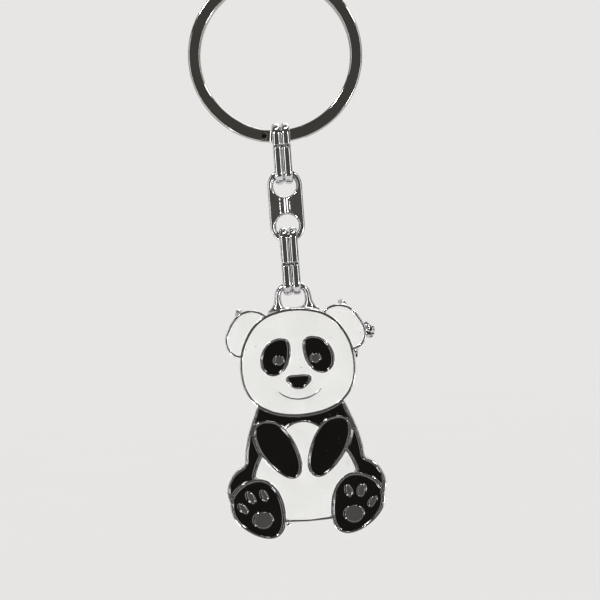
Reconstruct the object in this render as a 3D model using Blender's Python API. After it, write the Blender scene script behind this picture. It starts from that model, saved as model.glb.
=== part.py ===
"""Enamelled panda keyring: split ring, two folded strip links, a figure-eight link and a cast charm.

All sizes are in millimetres and are turned into metres when a mesh is made.
+Z is up, +X is to the viewer's right and the enamelled face looks along -Y.
The origin is the inside top of the split ring, where the keyring hangs from a hook.
"""
import math

import bmesh
import bpy
from mathutils import Matrix, Vector
from mathutils.geometry import delaunay_2d_cdt

MM = 0.001

# ---- clearances -----------------------------------------------------------------------------
COIL_GAP = 0.08          # between the two turns of the split ring
HANG_GAP = 0.10          # where one link hangs on the next
ENAMEL_GAP = 0.05        # round and under every enamel fill
LOOP_SIDE_GAP = 0.10     # beside the strip in the charm's loop

# ---- split ring -----------------------------------------------------------------------------
RING_OUTER_R = 15.0
RING_WALL = 2.1          # width of the wire, seen from the front
RING_INNER_R = RING_OUTER_R - RING_WALL
WIRE_DEPTH = 1.00        # of one turn, front to back
WIRE_BEVEL = 0.28
FRONT_END_DEG = -13.5    # cut end of the front turn, measured from straight down
CREASE_DEG = 16.0        # where the front turn starts to step back
RING_STEP_DEG = 7.5

# ---- folded strip links ---------------------------------------------------------------------
STRIP_WIDTH = 3.1
STRIP_THICK = 0.85       # over the ribs
STRIP_GROOVE = 0.28      # depth of the groove between the ribs
STRIP_EDGE = 0.30        # how far the outer edges of the ribs fall away
FOLD_INNER_R = 1.50      # inside radius of both folds
SEAM_GAP = 0.22          # between the two ends of the strip
UPPER_LINK_LENGTH = 10.6
LOWER_LINK_LENGTH = 11.8
UPPER_SEAM_DROP = 4.1    # from the top of the upper link
LOWER_SEAM_DROP = 6.4    # from the top of the lower link

# ---- figure-eight link ----------------------------------------------------------------------
EIGHT_WIDTH = 6.0
EIGHT_HOLE_R = 1.95
EIGHT_PITCH = 6.9        # between the hole centres
EIGHT_THICK = 1.6
EIGHT_BEVEL = 0.28       # width of the band round each edge that is set back
EIGHT_BEVEL_FALL = 0.17
WEB_RIB_WIDTH = 0.62
WEB_RIB_LENGTH = 2.3
WEB_RIB_RISE = 0.15
WEB_RIB_X = (-0.85, 0.0, 0.85)

# ---- charm casting --------------------------------------------------------------------------
CHARM_SCALE = 1.0        # of every outline but the loop's
CHARM_THICK = 2.6
POCKET_DEPTH = 0.80
ENAMEL_DROP = 0.12       # enamel face below the rim
LOOP_THICK = 1.5
EDGE_RIM = 0.42          # rim round the outside of the charm
HEAD_RIM = 0.46
ARM_RIM = 0.30
BELLY_RIM = 0.35
FACE_RIM = 0.28          # rim round the eyes and the nose
SMILE_WIDTH = 0.30
NUB_THICK = 1.3

RIM_Y = -CHARM_THICK / 2
BACK_Y = CHARM_THICK / 2
FLOOR_Y = RIM_Y + POCKET_DEPTH
ENAMEL_Y = RIM_Y + ENAMEL_DROP

SHARP_DEG = 40.0         # edges sharper than this stay crisp

FINISHES = {
    # name: (colour, roughness, metallic)
    "ring_chrome": ((0.46, 0.46, 0.44, 1.0), 0.07, 1.0),
    "link_chrome": ((0.66, 0.66, 0.67, 1.0), 0.06, 1.0),
    "casting_chrome": ((0.66, 0.65, 0.66, 1.0), 0.08, 1.0),
    "white_enamel": ((0.83, 0.83, 0.81, 1.0), 0.16, 0.0),
    "black_enamel": ((0.002, 0.002, 0.002, 1.0), 0.04, 0.0),
}
WHITE_FILLS = ("enamel_face", "enamel_belly", "enamel_ear_left", "enamel_ear_right")

# Half outlines on the right-hand side, from the top centre to the bottom centre.  The charm's
# own origin is the middle of the head.
HEAD_HALF = [(0, 8.85), (2.6, 8.6), (5.0, 7.8), (7.0, 6.25), (8.4, 4.1), (9.2, 1.9),
             (9.5, -0.6), (9.25, -3.2), (8.3, -5.4), (6.7, -7.05), (4.6, -8.1), (2.4, -8.62),
             (0, -8.8)]
BODY_HALF = [(0, -5.0), (5.6, -5.4), (7.4, -7.0), (8.3, -8.9), (9.05, -10.8), (9.7, -12.8),
             (10.15, -14.9), (10.3, -16.4), (10.6, -17.15), (11.4, -17.6), (12.5, -18.5),
             (13.35, -19.9), (13.7, -21.3), (13.5, -22.8), (12.6, -24.5), (10.5, -26.3),
             (6.5, -27.2), (3.5, -27.3), (0, -27.4)]
BELLY_HALF = [(0, -10.3), (1.5, -10.6), (2.9, -11.4), (4.6, -12.7), (6.1, -14.2),
              (7.25, -15.9), (8.05, -17.5), (8.55, -19.0), (8.75, -20.6), (8.6, -22.6),
              (7.8, -24.8), (6.0, -26.2), (4.0, -26.72), (2.0, -26.93), (0, -27.0)]
NOSE_HALF = [(0, -2.35), (1.1, -2.35), (1.75, -2.5), (1.98, -2.95), (1.55, -3.55),
             (0.85, -4.15), (0, -4.4)]
LOOP_HALF = [(0, 13.9), (1.3, 13.8), (2.3, 13.25), (2.95, 12.4), (3.2, 11.4), (3.35, 10.5),
             (3.75, 9.7), (4.5, 8.9), (4.2, 7.6), (2.0, 7.2), (0, 7.2)]
LOOP_HOLE_HALF = [(0, 12.7), (1.3, 12.62), (1.85, 12.1), (2.0, 11.3), (1.98, 10.5),
                  (1.7, 9.85), (1.0, 9.55), (0, 9.5)]

# Whole outlines of the right-hand pieces; the left-hand ones are their mirror images.
EAR = [(8.0, 9.05), (9.3, 8.6), (10.4, 7.5), (11.3, 6.0), (11.75, 4.7), (11.6, 3.4),
       (11.0, 2.45), (10.1, 1.95), (9.0, 1.8), (7.2, 2.6), (5.4, 5.4), (4.95, 7.5),
       (5.6, 8.45), (6.7, 9.0)]
EYE = [(2.0, 4.0), (3.0, 4.1), (3.95, 3.85), (4.8, 3.3), (5.5, 2.5), (5.95, 1.6),
       (6.15, 0.6), (6.05, -0.4), (5.65, -1.1), (5.0, -1.65), (4.2, -1.85), (3.3, -1.6),
       (2.5, -1.05), (1.9, -0.2), (1.5, 0.8), (1.3, 1.9), (1.28, 2.9), (1.48, 3.6)]
ARM_OUTER = [(5.7, -9.65), (4.5, -9.95), (3.4, -10.75), (2.45, -11.9), (1.6, -13.3),
             (0.95, -14.9), (0.55, -16.4), (0.42, -17.7), (0.65, -18.8), (1.3, -19.6),
             (2.25, -19.9), (3.35, -19.6), (4.6, -18.75), (5.8, -17.6), (6.9, -16.2),
             (7.75, -14.7), (8.3, -13.1), (8.5, -11.8), (8.25, -10.7), (7.6, -10.0),
             (6.7, -9.65)]
FOOT_OUTER = [(8.3, -19.45), (9.8, -19.7), (11.2, -20.4), (12.4, -21.5), (13.15, -22.9),
              (13.3, -24.3), (12.9, -25.9), (12.0, -27.2), (10.8, -28.3), (9.2, -29.3),
              (7.4, -29.9), (5.9, -29.85), (4.8, -29.2), (4.1, -28.0), (3.85, -26.5),
              (3.95, -24.8), (4.3, -23.1), (5.1, -21.4), (6.2, -20.2), (7.2, -19.65)]
SMILE = [(-3.9, -4.6), (-3.0, -5.35), (-1.9, -5.95), (-0.6, -6.25), (0.6, -6.25),
         (1.9, -5.95), (3.0, -5.35), (3.75, -4.7)]
SHOULDER_ZONE = [(-11.0, -5.0), (-11.0, -9.9), (-7.4, -10.1), (-4.0, -11.4), (4.0, -11.4),
                 (7.4, -10.1), (11.0, -9.9), (11.0, -5.0)]
FLANK_ZONE = [(6.6, -12.0), (11.5, -12.0), (15.0, -18.0), (15.0, -24.0), (7.0, -24.0),
              (6.6, -18.0)]

# Ellipses: centre u, centre v, half width, half height, lean to the right in degrees.
PUPIL = (3.15, 0.55, 0.76, 0.76, 0.0)
MAIN_PAD = (7.8, -26.55, 1.6, 1.42, 0.0)
TOES = {
    "left": [(-7.35, -22.4, 0.46, 0.98, -18.0), (-9.65, -22.6, 0.52, 1.08, -26.0),
             (-11.1, -24.4, 0.46, 1.0, -38.0)],
    "right": [(7.15, -22.6, 0.46, 0.98, -12.0), (9.4, -22.65, 0.60, 1.08, 16.0),
              (11.1, -24.7, 0.46, 0.98, 34.0)],
}
PAD_STEPS = 14           # sides of a pad's or toe's outline

# Casting flash left on the edge: rough little polygons that overlap the casting.
NUBS = [
    [(11.6, 3.7), (12.4, 3.35), (13.1, 3.3), (13.6, 4.1), (13.65, 5.1), (12.95, 5.5),
     (12.4, 6.1), (11.5, 5.8)],
    [(7.6, 9.0), (7.7, 10.0), (8.2, 10.3), (8.9, 9.85), (9.5, 8.8)],
    [(9.5, 2.3), (9.95, 1.0), (10.1, 0.15), (10.35, 0.05), (10.5, 1.2), (11.1, 2.5)],
    [(-10.2, 8.7), (-9.9, 9.7), (-9.5, 9.9), (-9.0, 9.7), (-8.6, 8.9)],
    [(-3.0, -27.0), (-3.2, -27.9), (-3.8, -28.0), (-4.3, -27.4), (-4.2, -26.6)],
]


# ---- heights down the chain -----------------------------------------------------------------
RING_Z = -RING_INNER_R
STRIP_HALF = STRIP_WIDTH / 2
FOLD_OUTER_R = FOLD_INNER_R + STRIP_THICK
RING_HALF_DEPTH = WIRE_DEPTH + COIL_GAP / 2


def fold_drop(y):
    """How far the inside of a fold has come down at a distance from its middle."""
    return FOLD_INNER_R - math.sqrt(FOLD_INNER_R ** 2 - y ** 2)


# The fold rests on the bevelled corners of the two turns and on the ring's curve under its edges.
RING_SEAT = max(fold_drop(RING_HALF_DEPTH - WIRE_BEVEL), fold_drop(RING_HALF_DEPTH) - WIRE_BEVEL)
RING_SAG = RING_INNER_R - math.sqrt(RING_INNER_R ** 2 - STRIP_HALF ** 2)
UPPER_TOP_Z = RING_Z - RING_INNER_R + RING_SEAT + RING_SAG + HANG_GAP + STRIP_THICK
UPPER_BOTTOM_Z = UPPER_TOP_Z - UPPER_LINK_LENGTH
SEAT_RISE = math.sqrt(EIGHT_HOLE_R ** 2 - STRIP_HALF ** 2)   # hole edge above the flat strip
UPPER_HOLE_Z = UPPER_BOTTOM_Z + STRIP_THICK + HANG_GAP - SEAT_RISE
LOWER_HOLE_Z = UPPER_HOLE_Z - EIGHT_PITCH
LOWER_TOP_Z = LOWER_HOLE_Z - SEAT_RISE + HANG_GAP + STRIP_THICK
LOWER_BOTTOM_Z = LOWER_TOP_Z - LOWER_LINK_LENGTH

# Each swing turns about the middle of a fold.  The upper link slides round the ring's centre.
EIGHT_PIVOT_Z = UPPER_BOTTOM_Z + FOLD_OUTER_R
LOWER_PIVOT_Z = LOWER_TOP_Z - FOLD_OUTER_R
CHARM_PIVOT_Z = LOWER_BOTTOM_Z + FOLD_OUTER_R


# ---- plane outlines -------------------------------------------------------------------------
def mirrored_half(half):
    """Close a right-hand half outline with its mirror image."""
    return half + [(-u, v) for u, v in reversed(half[1:-1])]


def mirrored(points):
    return [(-u, v) for u, v in reversed(points)]


def smooth(points, steps):
    """Closed Catmull-Rom curve through the points."""
    count = len(points)
    curve = []
    for i in range(count):
        p0, p1, p2, p3 = (Vector(points[(i + k) % count]) for k in (-1, 0, 1, 2))
        for s in range(steps):
            t = s / steps
            curve.append(tuple(0.5 * (2 * p1 + (p2 - p0) * t
                                      + (2 * p0 - 5 * p1 + 4 * p2 - p3) * t * t
                                      + (3 * p1 - p0 - 3 * p2 + p3) * t ** 3)))
    return curve


def signed_area(points):
    return 0.5 * sum(a[0] * b[1] - b[0] * a[1] for a, b in zip(points, points[1:] + points[:1]))


def offset(points, distance):
    """Move a closed outline outward by a distance (inward when it is negative)."""
    count = len(points)
    turn = 1.0 if signed_area(points) > 0 else -1.0
    moved = []
    for i in range(count):
        along = Vector(points[(i + 1) % count]) - Vector(points[i - 1])
        normal = Vector((along.y, -along.x)).normalized() * turn
        moved.append(tuple(Vector(points[i]) + normal * distance))
    return moved


def ellipse(spec, steps=14, grow=0.0):
    u, v, a, b, lean = spec
    c, s = math.cos(math.radians(lean)), math.sin(math.radians(lean))
    ring = []
    for i in range(steps):
        t = 2 * math.pi * i / steps
        x, y = (a + grow) * math.cos(t), (b + grow) * math.sin(t)
        ring.append((u + x * c + y * s, v - x * s + y * c))
    return ring


def ribbon(points, width):
    """Closed outline of a line of even width."""
    line = [Vector(p) for p in points]
    left, right = [], []
    for i, p in enumerate(line):
        along = line[min(i + 1, len(line) - 1)] - line[max(i - 1, 0)]
        normal = Vector((-along.y, along.x)).normalized() * (width / 2)
        left.append(tuple(p + normal))
        right.append(tuple(p - normal))
    return left + right[::-1]


def inside(point, outline):
    u, v = point
    hit = False
    for (u0, v0), (u1, v1) in zip(outline, outline[1:] + outline[:1]):
        if (v0 > v) != (v1 > v) and u < (u1 - u0) * (v - v0) / (v1 - v0) + u0:
            hit = not hit
    return hit


# ---- solids from plane outlines -------------------------------------------------------------
def triangulate(outlines):
    """Triangles that respect every outline, crossings included."""
    points, edges = [], []
    for outline in outlines:
        first = len(points)
        points += [Vector(p) for p in outline]
        edges += [(first + i, first + (i + 1) % len(outline)) for i in range(len(outline))]
    verts, _, faces, *_ = delaunay_2d_cdt(points, edges, [], 0, 1e-5)
    return [tuple(v) for v in verts], [tuple(f) for f in faces]


def column_solid(name, outlines, column, origin_z):
    """Solid made of columns: column(point) gives (front y, back y), or None for no material."""
    verts, faces = triangulate(outlines)
    spans = []
    for face in faces:
        centre = tuple(sum(verts[i][k] for i in face) / len(face) for k in (0, 1))
        spans.append(column(centre))
    levels, sides = {}, {}
    for face, span in zip(faces, spans):
        for i, a in enumerate(face):
            sides.setdefault((a, face[(i + 1) % len(face)]), span)
            if span:
                levels.setdefault(a, set()).update(span)
    mesh = bmesh.new()
    corner = {}
    for i, heights in levels.items():
        for y in heights:
            corner[i, y] = mesh.verts.new(Vector((verts[i][0], y, verts[i][1] + origin_z)) * MM)
    for face, span in zip(faces, spans):
        if span:
            mesh.faces.new([corner[i, span[0]] for i in face])
            mesh.faces.new([corner[i, span[1]] for i in reversed(face)])
    for (a, b), span in sides.items():
        for low, high in exposed(span, sides.get((b, a))):
            up_a = sorted(y for y in levels[a] if low <= y <= high)
            up_b = sorted(y for y in levels[b] if low <= y <= high)
            mesh.faces.new([corner[a, y] for y in up_a] + [corner[b, y] for y in reversed(up_b)])
    bmesh.ops.recalc_face_normals(mesh, faces=mesh.faces)
    return finish_mesh(name, mesh)


def exposed(span, other):
    """Parts of a column's side that its neighbour does not cover."""
    if not span:
        return []
    if not other:
        return [span]
    bare = []
    if span[0] < other[0]:
        bare.append((span[0], min(other[0], span[1])))
    if span[1] > other[1]:
        bare.append((max(other[1], span[0]), span[1]))
    return bare


def finish_mesh(name, mesh):
    data = bpy.data.meshes.new(name)
    mesh.to_mesh(data)
    mesh.free()
    thing = bpy.data.objects.new(name, data)
    bpy.context.scene.collection.objects.link(thing)
    return thing


def swept_solid(name, rings, closed=False):
    """Solid through a row of like-numbered point rings, capped at both ends unless closed."""
    mesh = bmesh.new()
    rows = [[mesh.verts.new(Vector(p) * MM) for p in ring] for ring in rings]
    count = len(rows[0])
    pairs = list(zip(rows, rows[1:] + rows[:1])) if closed else list(zip(rows, rows[1:]))
    for row, following in pairs:
        for i in range(count):
            j = (i + 1) % count
            mesh.faces.new((row[i], row[j], following[j], following[i]))
    if not closed:
        mesh.faces.new(rows[0][::-1])
        mesh.faces.new(rows[-1])
    bmesh.ops.recalc_face_normals(mesh, faces=mesh.faces)
    return finish_mesh(name, mesh)


# ---- finish and place -----------------------------------------------------------------------
def finish(name):
    material = bpy.data.materials.get(name) or bpy.data.materials.new(name)
    colour, roughness, metallic = FINISHES[name]
    material.use_nodes = True
    shader = material.node_tree.nodes["Principled BSDF"]
    shader.inputs["Base Color"].default_value = colour
    shader.inputs["Roughness"].default_value = roughness
    shader.inputs["Metallic"].default_value = metallic
    return material


def place(thing, finish_name, pivot_z, parent=None, parent_z=0.0):
    """Give a piece its finish, put its origin on its pivot and hang it on its parent."""
    thing.data.transform(Matrix.Translation((0.0, 0.0, -pivot_z * MM)))
    thing.data.materials.append(finish(finish_name))
    thing.data.shade_smooth()
    thing.data.set_sharp_from_angle(angle=math.radians(SHARP_DEG))
    thing.parent = parent
    thing.location.z = (pivot_z - parent_z) * MM
    return thing


# ---- split ring -----------------------------------------------------------------------------
def wire_section():
    """Bevelled rectangle: radius outward from the ring centre, depth about the turn's middle."""
    r0, r1, d, b = RING_INNER_R, RING_OUTER_R, WIRE_DEPTH / 2, WIRE_BEVEL
    return [(r0, -d + b), (r0 + b, -d), (r1 - b, -d), (r1, -d + b),
            (r1, d - b), (r1 - b, d), (r0 + b, d), (r0, d - b)]


def build_split_ring():
    """Two turns of flat wire: the front one steps back under its own cut end."""
    half_pitch = (WIRE_DEPTH + COIL_GAP) / 2
    front = CREASE_DEG - 360.0
    stations = []
    steps = round((FRONT_END_DEG - front) / RING_STEP_DEG)
    for i in range(steps + 1):
        stations.append((FRONT_END_DEG + (front - FRONT_END_DEG) * i / steps, -half_pitch))
    jog = 6
    for i in range(1, jog + 1):
        t = i / jog
        ease = t * t * (3 - 2 * t)
        angle = front + (FRONT_END_DEG - CREASE_DEG) * t
        stations.append((angle, -half_pitch + 2 * half_pitch * ease))
    last = stations[-1][0]
    for i in range(1, steps + 1):
        stations.append((last + (front - FRONT_END_DEG) * i / steps, half_pitch))
    rings = []
    for angle, depth in stations:
        s, c = math.sin(math.radians(angle)), math.cos(math.radians(angle))
        rings.append([(r * s, depth + d, RING_Z - r * c) for r, d in wire_section()])
    return swept_solid("split_ring", rings)


# ---- folded strip links ---------------------------------------------------------------------
def strip_section():
    """Strip cross-section as (x, height over the inside face): two round ribs and a groove."""
    h = STRIP_HALF
    valley = STRIP_THICK - STRIP_GROOVE
    edge = STRIP_THICK - STRIP_EDGE
    right = [(0.0, valley), (0.22 * h, valley + 0.35 * STRIP_GROOVE), (0.42 * h, STRIP_THICK),
             (0.62 * h, STRIP_THICK), (0.86 * h, edge + 0.45 * STRIP_EDGE), (h, edge - 0.12)]
    top = [(-x, y) for x, y in reversed(right[1:])] + right
    return top + [(h, 0.1), (h - 0.1, 0.0), (-h + 0.1, 0.0), (-h, 0.1)]


def fold_path(length, seam_drop):
    """Stations (y, z below the top, outward y, outward z) from seam to seam round both folds."""
    straight = length - 2 * FOLD_OUTER_R
    top, bottom = FOLD_OUTER_R, FOLD_OUTER_R + straight
    r = FOLD_INNER_R
    stations = [(-r, seam_drop - SEAM_GAP / 2, -1.0, 0.0)]
    turns = 10
    for i in range(turns + 1):
        a = math.pi * i / turns
        stations.append((-r * math.cos(a), top - r * math.sin(a), -math.cos(a), -math.sin(a)))
    for i in range(turns + 1):
        a = math.pi * i / turns
        stations.append((r * math.cos(a), bottom + r * math.sin(a), math.cos(a), math.sin(a)))
    stations.append((-r, seam_drop + SEAM_GAP / 2, -1.0, 0.0))
    return stations


def build_strip_link(name, top_z, length, seam_drop):
    rings = []
    for y, drop, out_y, out_drop in fold_path(length, seam_drop):
        rings.append([(x, y + out_y * h, top_z - drop - out_drop * h)
                      for x, h in strip_section()])
    return swept_solid(name, rings)


# ---- figure-eight link ----------------------------------------------------------------------
def stadium(half_width, centre_top, centre_bottom, steps=14):
    points = []
    for centre, start in ((centre_top, 0.0), (centre_bottom, math.pi)):
        for i in range(steps + 1):
            a = start + math.pi * i / steps
            points.append((half_width * math.cos(a), centre + half_width * math.sin(a)))
    return points


def build_figure_eight():
    """Pressed plate with two round holes, soft edges and three ribs on both faces of the web."""
    half, b = EIGHT_WIDTH / 2, EIGHT_BEVEL
    holes = [(0.0, UPPER_HOLE_Z), (0.0, LOWER_HOLE_Z)]
    outer = [stadium(half - inset, UPPER_HOLE_Z, LOWER_HOLE_Z) for inset in (0.0, b)]
    rims = [ellipse((u, v, EIGHT_HOLE_R, EIGHT_HOLE_R, 0.0), 28, grow)
            for u, v in holes for grow in (0.0, b)]
    mid = (UPPER_HOLE_Z + LOWER_HOLE_Z) / 2
    ribs = [ellipse((x, mid, WEB_RIB_WIDTH / 2, WEB_RIB_LENGTH / 2, 0.0), 12) for x in WEB_RIB_X]
    face = EIGHT_THICK / 2

    def column(point):
        if not inside(point, outer[0]) or inside(point, rims[0]) or inside(point, rims[2]):
            return None
        if any(inside(point, rib) for rib in ribs):
            return (-face - WEB_RIB_RISE, face + WEB_RIB_RISE)
        edge = not inside(point, outer[1]) or inside(point, rims[1]) or inside(point, rims[3])
        fall = EIGHT_BEVEL_FALL if edge else 0.0
        return (-face + fall, face - fall)

    return column_solid("figure_eight_link", outer + rims + ribs, column, 0.0)


# ---- charm ----------------------------------------------------------------------------------
SIDES = ("left", "right")


def scaled(points):
    return [(u * CHARM_SCALE, v * CHARM_SCALE) for u, v in points]


def scaled_ellipse(spec):
    return tuple(size * CHARM_SCALE for size in spec[:4]) + (spec[4],)


def both_sides(outline):
    return {"right": outline, "left": mirrored(outline)}


class Charm:
    """Every outline of the charm in its own frame."""

    def __init__(self):
        lift = HEAD_HALF[0][1] * (CHARM_SCALE - 1)
        self.head = smooth(scaled(mirrored_half(HEAD_HALF)), 3)
        self.body = smooth(scaled(mirrored_half(BODY_HALF)), 3)
        self.belly = smooth(scaled(mirrored_half(BELLY_HALF)), 3)
        self.nose = smooth(scaled(mirrored_half(NOSE_HALF)), 2)
        self.loop = [(u, v + lift) for u, v in smooth(mirrored_half(LOOP_HALF), 3)]
        self.loop_hole = [(u, v + lift) for u, v in smooth(mirrored_half(LOOP_HOLE_HALF), 3)]
        self.smile = scaled(SMILE)
        self.ear = both_sides(smooth(scaled(EAR), 3))
        self.eye = both_sides(smooth(scaled(EYE), 2))
        self.arm = both_sides(offset(smooth(scaled(ARM_OUTER), 2), -ARM_RIM))
        self.foot = both_sides(offset(smooth(scaled(FOOT_OUTER), 2), -EDGE_RIM))
        self.pupil = both_sides(ellipse(scaled_ellipse(PUPIL)))
        self.flank_zone = both_sides(scaled(FLANK_ZONE))
        self.shoulder_zone = scaled(SHOULDER_ZONE)
        self.pads = {"right": [scaled_ellipse(p) for p in [MAIN_PAD] + TOES["right"]],
                     "left": [scaled_ellipse(p) for p in
                              [(-MAIN_PAD[0],) + MAIN_PAD[1:]] + TOES["left"]]}
        self.nubs = [scaled(nub) for nub in NUBS]


def loop_seat_v(charm):
    """Height, in the charm's own frame, at which the loop's opening is as wide as the strip."""
    middle = sum(v for u, v in charm.loop_hole) / len(charm.loop_hole)
    edge = [p for p in charm.loop_hole if p[1] > middle and p[0] > 0]
    return min(v for u, v in edge if u <= STRIP_HALF + LOOP_SIDE_GAP)


def fill_regions(charm, gap):
    """Name -> (outlines to stay inside, outlines to stay outside) for every enamel fill."""
    head_rim = offset(charm.head, HEAD_RIM + gap)
    belly_rim = offset(charm.belly, BELLY_RIM + gap)
    body_in = offset(charm.body, -EDGE_RIM - gap)
    arms = [offset(charm.arm[s], ARM_RIM + gap) for s in SIDES]
    feet = [offset(charm.foot[s], EDGE_RIM + gap) for s in SIDES]
    eyes = [offset(charm.eye[s], FACE_RIM + gap) for s in SIDES]
    nose = offset(charm.nose, FACE_RIM + gap)
    smile = ribbon(charm.smile, SMILE_WIDTH + 2 * gap)
    shoulder_zone = offset(charm.shoulder_zone, -gap)
    regions = {
        "enamel_face": ([offset(charm.head, -gap)], eyes + [nose, smile]),
        "enamel_nose": ([offset(charm.nose, -gap)], []),
        "enamel_shoulders": ([body_in, shoulder_zone], [head_rim, belly_rim] + arms),
        "enamel_belly": ([offset(charm.belly, -gap)], arms + feet),
    }
    for side in SIDES:
        pads = [ellipse(spec, PAD_STEPS, gap) for spec in charm.pads[side]]
        pupil = offset(charm.pupil[side], gap)
        regions["enamel_ear_" + side] = ([offset(charm.ear[side], -gap)], [head_rim])
        regions["enamel_eye_" + side] = ([offset(charm.eye[side], -gap)], [pupil])
        regions["enamel_arm_" + side] = ([offset(charm.arm[side], -gap)], [])
        regions["enamel_foot_" + side] = ([offset(charm.foot[side], -gap)], pads)
        flank_zone = offset(charm.flank_zone[side], -gap)
        regions["enamel_flank_" + side] = ([body_in, flank_zone], [belly_rim] + arms + feet)
    return regions


def in_region(point, region):
    within, without = region
    return (all(inside(point, outline) for outline in within)
            and not any(inside(point, outline) for outline in without))


def build_casting(charm, origin_z):
    """Casting with a raised rim round every pocket, an integral loop and its flash."""
    regions = fill_regions(charm, 0.0)
    metal = [offset(charm.head, HEAD_RIM), charm.body]
    metal += [offset(charm.ear[s], EDGE_RIM) for s in SIDES]
    metal += [offset(charm.foot[s], EDGE_RIM) for s in SIDES]
    outlines = metal + [charm.loop, charm.loop_hole] + charm.nubs
    for within, without in regions.values():
        outlines += within + without

    def column(point):
        if any(inside(point, outline) for outline in metal):
            pocket = any(in_region(point, region) for region in regions.values())
            return (FLOOR_Y if pocket else RIM_Y, BACK_Y)
        if inside(point, charm.loop):
            hole = inside(point, charm.loop_hole)
            return None if hole else (-LOOP_THICK / 2, LOOP_THICK / 2)
        if any(inside(point, nub) for nub in charm.nubs):
            return (-NUB_THICK / 2, NUB_THICK / 2)
        return None

    return column_solid("charm_casting", outlines, column, origin_z)


def build_fills(charm, origin_z, casting):
    span = (ENAMEL_Y, FLOOR_Y - ENAMEL_GAP)
    for name, region in fill_regions(charm, ENAMEL_GAP).items():
        outlines = region[0] + region[1]
        fill = column_solid(name, outlines,
                            lambda p, r=region: span if in_region(p, r) else None, origin_z)
        colour = "white_enamel" if name in WHITE_FILLS else "black_enamel"
        place(fill, colour, CHARM_PIVOT_Z, casting, CHARM_PIVOT_Z)


def main():
    for thing in list(bpy.data.objects):
        bpy.data.objects.remove(thing, do_unlink=True)
    ring = place(build_split_ring(), "ring_chrome", RING_Z)
    upper = build_strip_link("upper_strip_link", UPPER_TOP_Z, UPPER_LINK_LENGTH, UPPER_SEAM_DROP)
    place(upper, "link_chrome", RING_Z, ring, RING_Z)
    eight = place(build_figure_eight(), "link_chrome", EIGHT_PIVOT_Z, upper, RING_Z)
    lower = build_strip_link("lower_strip_link", LOWER_TOP_Z, LOWER_LINK_LENGTH, LOWER_SEAM_DROP)
    place(lower, "link_chrome", LOWER_PIVOT_Z, eight, EIGHT_PIVOT_Z)
    charm = Charm()
    origin_z = LOWER_BOTTOM_Z + STRIP_THICK + HANG_GAP - loop_seat_v(charm)
    casting = build_casting(charm, origin_z)
    place(casting, "casting_chrome", CHARM_PIVOT_Z, lower, LOWER_PIVOT_Z)
    build_fills(charm, origin_z, casting)


main()
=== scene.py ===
"""Looks for the enamelled panda keyring: chrome-plated links and casting with glossy enamel."""

import math

import bpy
import numpy as np
from mathutils import Matrix, Vector
from mathutils.geometry import delaunay_2d_cdt


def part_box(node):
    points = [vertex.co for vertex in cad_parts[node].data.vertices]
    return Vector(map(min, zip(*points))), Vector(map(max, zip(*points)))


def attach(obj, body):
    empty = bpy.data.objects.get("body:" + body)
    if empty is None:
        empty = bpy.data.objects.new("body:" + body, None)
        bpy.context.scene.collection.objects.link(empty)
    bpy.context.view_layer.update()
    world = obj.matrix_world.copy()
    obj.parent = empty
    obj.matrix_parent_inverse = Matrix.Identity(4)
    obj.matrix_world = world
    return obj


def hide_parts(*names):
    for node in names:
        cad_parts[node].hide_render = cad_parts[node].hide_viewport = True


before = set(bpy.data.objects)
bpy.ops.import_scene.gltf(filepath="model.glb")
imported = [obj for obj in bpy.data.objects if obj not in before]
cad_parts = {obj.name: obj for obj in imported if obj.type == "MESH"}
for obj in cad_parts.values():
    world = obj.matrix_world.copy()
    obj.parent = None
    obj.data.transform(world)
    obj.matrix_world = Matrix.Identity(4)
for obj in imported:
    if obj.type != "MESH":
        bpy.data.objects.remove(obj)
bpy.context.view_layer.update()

MM = 0.001

# ---- sizes in millimetres -------------------------------------------------------------------
RING_WALL = 2.1
WIRE_DEPTH = 1.00
COIL_GAP = 0.08
WIRE_BEVEL = 0.30
FRONT_END_DEG = -13.5
CREASE_DEG = 16.0
CRANK_BEND = 0.80
CRANK_EASE = 0.16

STRIP_WIDTH = 3.1
STRIP_THICK = 0.85
STRIP_GROOVE = 0.46
STRIP_SHOULDER = 0.36
RIB_SHARPNESS = 3.6
FOLD_INNER_R = 1.50
LIP_STEPS = (0.0, 0.05, 0.13)
LIP_THINNING = (0.34, 0.10, 0.02)
LIP_NARROWING = 0.4
SEAM_GAP = 0.36
UPPER_SEAM_DROP = 4.1
LOWER_SEAM_DROP = 6.4

EIGHT_WIDTH = 6.0
EIGHT_HOLE_R = 1.95
EIGHT_THICK = 1.6
EIGHT_ROUND = 0.34
WEB_RIB_RISE = 0.15
WEB_RIB_PITCH = 0.85
WEB_HALF_WIDTH = 1.7
WEB_HALF_LENGTH = 1.75
BEAD_PITCH = 0.5
BEAD_MEAN, BEAD_SWING = 0.92, 0.08
HOLE_COLLAR_RISE = 0.07
COLLAR_INSET = 0.34
COLLAR_REACH = 0.15
PLATE_SINK = 0.10
PLATE_BOW = 0.10
PLATE_TWIST = 0.02

CHARM_THICK = 2.6
POCKET_DEPTH = 0.80
LOOP_THICK = 1.5
LOOP_TOP = 13.9
EDGE_RIM = 0.42
HEAD_RIM = 0.46
ARM_RIM = 0.30
BELLY_RIM = 0.35
FACE_RIM = 0.28
SMILE_WIDTH = 0.30
NUB_THICK = 1.3
RIM_ROUND = 0.06
OUTER_ROUND = 0.18
BACK_ROUND = 0.30
LOOP_ROUND = 0.75
NUB_ROUND = 0.4
NUB_ROUGHNESS = 0.22
ENAMEL_LAP = 0.03           # how far an enamel pool reaches over its rim
EIGHT_MESH_STEP = 0.16
CASTING_MESH_STEP = 0.35
ENAMEL_MESH_STEP = 0.30

RIM_Y = -CHARM_THICK / 2
BACK_Y = CHARM_THICK / 2
FLOOR_Y = RIM_Y + POCKET_DEPTH

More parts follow.
